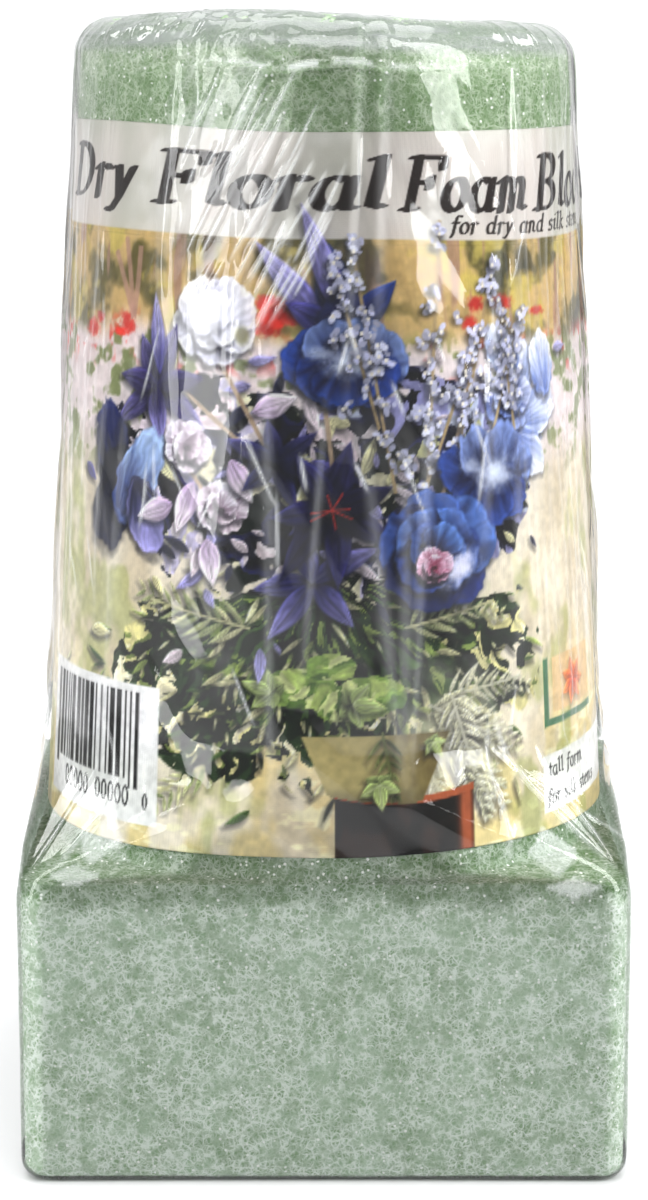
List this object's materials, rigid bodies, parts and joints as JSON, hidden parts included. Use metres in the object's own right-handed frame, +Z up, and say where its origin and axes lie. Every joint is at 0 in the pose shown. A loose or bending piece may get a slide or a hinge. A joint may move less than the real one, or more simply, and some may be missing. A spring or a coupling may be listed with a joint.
{
  "type": "floral foam vase insert",
  "caption": "Shrink-wrapped floral foam insert: a square foam block with a tapered round column above it and a printed paper label round the column.",
  "frame": {"origin": "on the floor, under the middle of the square block", "axes": "+Z up along the column's axis, front of the label towards -Y, +X to the right seen from the front"},
  "size_m": [0.078, 0.0783, 0.1482],
  "materials": {
    "foam": "matte, open cellular phenolic foam",
    "printed_paper": "coated, printed in colour",
    "glue": "dried label glue",
    "clear_film": "clear glossy shrink film"
  },
  "bodies": {
    "root": {"foam_block": "foam", "paper_label": "printed_paper", "label_glue": "glue", "shrink_film": "clear_film"}
  },
  "joints": []
}
